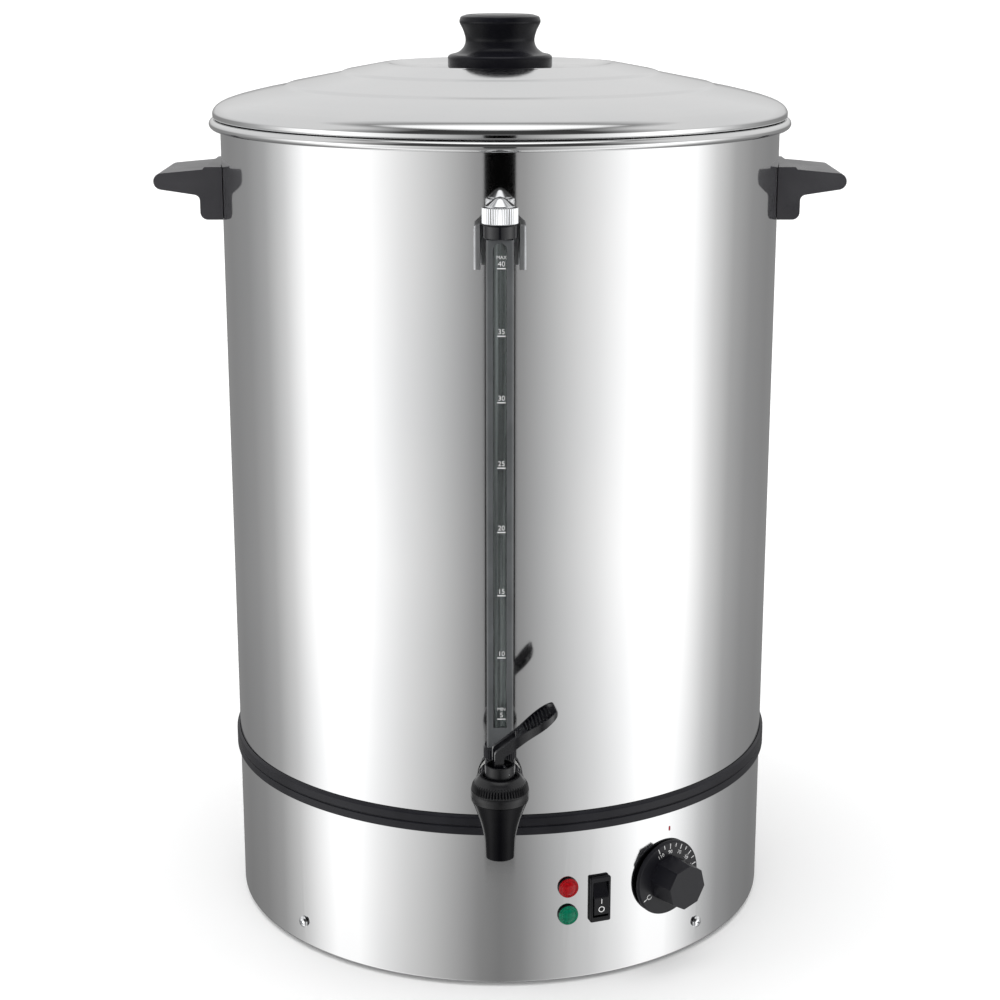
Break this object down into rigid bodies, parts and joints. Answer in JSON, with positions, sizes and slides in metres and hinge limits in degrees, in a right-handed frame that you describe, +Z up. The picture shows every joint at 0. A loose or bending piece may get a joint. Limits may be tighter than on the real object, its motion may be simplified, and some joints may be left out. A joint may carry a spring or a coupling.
{
  "type": "brew kettle",
  "caption": "Electric stainless-steel brew kettle: round tank on a base skirt, domed lift-off lid, side handles, sight gauge, lever tap, thermostat dial, switch and lamps.",
  "frame": {"origin": "middle of the footprint, on the surface the feet stand on", "axes": "+Z up, the tap faces -Y, +X to the right seen from the tap"},
  "size_m": [0.4658, 0.4734, 0.6236],
  "materials": {
    "polished_steel": "polished stainless sheet",
    "plain_steel": "satin stainless and zinc-plated steel",
    "chrome": "bright chrome plate",
    "black_plastic": "moulded, semi-gloss",
    "grey_plastic": "moulded heat-proof plastic, fine satin grain",
    "band_rubber": "matt moulded rubber",
    "silicone": "translucent silicone, matt",
    "brass": "plain brass and copper",
    "aluminium": "plain cast aluminium",
    "ceramic": "glazed electrical ceramic",
    "red_lens": "clear red lamp lens",
    "green_lens": "clear green lamp lens",
    "glass": "clear glass tube and clear window strip"
  },
  "bodies": {
    "kettle": {"band_gasket": "band_rubber", "base_plate": "plain_steel", "base_skirt": "polished_steel", "cable_gland": "black_plastic", "foot_1": "band_rubber", "foot_2": "band_rubber", "foot_3": "band_rubber", "foot_4": "band_rubber", "gauge_bottom_nut": "black_plastic", "gauge_bracket": "polished_steel", "gauge_cap_nut": "chrome", "gauge_glass": "glass", "gauge_shield": "black_plastic", "gauge_top_collar": "black_plastic", "gauge_top_seal": "silicone", "gauge_window": "glass", "green_lamp_body": "black_plastic", "green_lamp_lens": "green_lens", "heat_plate": "aluminium", "heating_element": "plain_steel", "left_handle": "grey_plastic", "left_handle_screw_1": "plain_steel", "left_handle_screw_2": "plain_steel", "red_lamp_body": "black_plastic", "red_lamp_lens": "red_lens", "right_handle": "grey_plastic", "right_handle_screw_1": "plain_steel", "right_handle_screw_2": "plain_steel", "skirt_screw_1": "chrome", "skirt_screw_2": "chrome", "skirt_screw_3": "chrome", "skirt_screw_4": "chrome", "stay_bolt_1": "plain_steel", "stay_bolt_2": "plain_steel", "stay_bolt_3": "plain_steel", "switch_body": "black_plastic", "tank_floor": "plain_steel", "tank_wall": "polished_steel", "tap_body": "black_plastic", "tap_bonnet": "black_plastic", "tap_lock_nut": "black_plastic", "tap_spring": "plain_steel", "tap_wall_nut": "black_plastic", "tap_washer": "silicone", "terminal_block": "ceramic", "thermal_cutout": "ceramic", "thermostat_body": "black_plastic", "thermostat_bulb": "brass"},
    "lid": {"lid_shell": "polished_steel", "lid_knob": "black_plastic", "lid_knob_screw": "plain_steel"},
    "tap_collar": {"tap_collar": "black_plastic", "lever_pin": "plain_steel"},
    "tap_lever": {"tap_lever": "black_plastic"},
    "valve_stem": {"valve_stem": "plain_steel", "seat_cup": "silicone"},
    "switch_rocker": {"switch_rocker": "black_plastic"},
    "thermostat_knob": {"thermostat_knob": "black_plastic", "thermostat_shaft": "brass"}
  },
  "joints": [
    {"name": "lid_lift", "type": "slide", "parent": "kettle", "child": "lid", "axis": [0, 0, 1], "range_m": [0, 0.25]},
    {"name": "tap_swivel", "type": "hinge", "parent": "kettle", "child": "tap_collar", "pos_m": [0, -0.21835, 0.175], "axis": [0, 0, 1], "range_deg": [-218, 22]},
    {"name": "lever_press", "type": "hinge", "parent": "tap_collar", "child": "tap_lever", "pos_m": [0.00376, -0.21782, 0.1785], "axis": [-0.1392, 0.9903, 0], "range_deg": [0, 30], "stiffness_Nm_per_rad": 0.25, "springref_deg": -11.46, "deforming": ["tap_spring"]},
    {"name": "stem_lift", "type": "slide", "parent": "tap_collar", "child": "valve_stem", "axis": [0, 0, 1], "range_m": [0, 0.0038]},
    {"name": "rocker_press", "type": "hinge", "parent": "kettle", "child": "switch_rocker", "pos_m": [0.06509, -0.14526, 0.059], "axis": [0.9385, 0.3453, 0], "range_deg": [0, 20]},
    {"name": "thermostat_turn", "type": "hinge", "parent": "kettle", "child": "thermostat_knob", "pos_m": [0.11231, -0.12407, 0.0632], "axis": [0.585, -0.8111, 0], "range_deg": [-25, 235]}
  ],
  "couplings": [
    {"joint": "stem_lift", "follows": "lever_press", "m_per_rad": 0.0072}
  ]
}
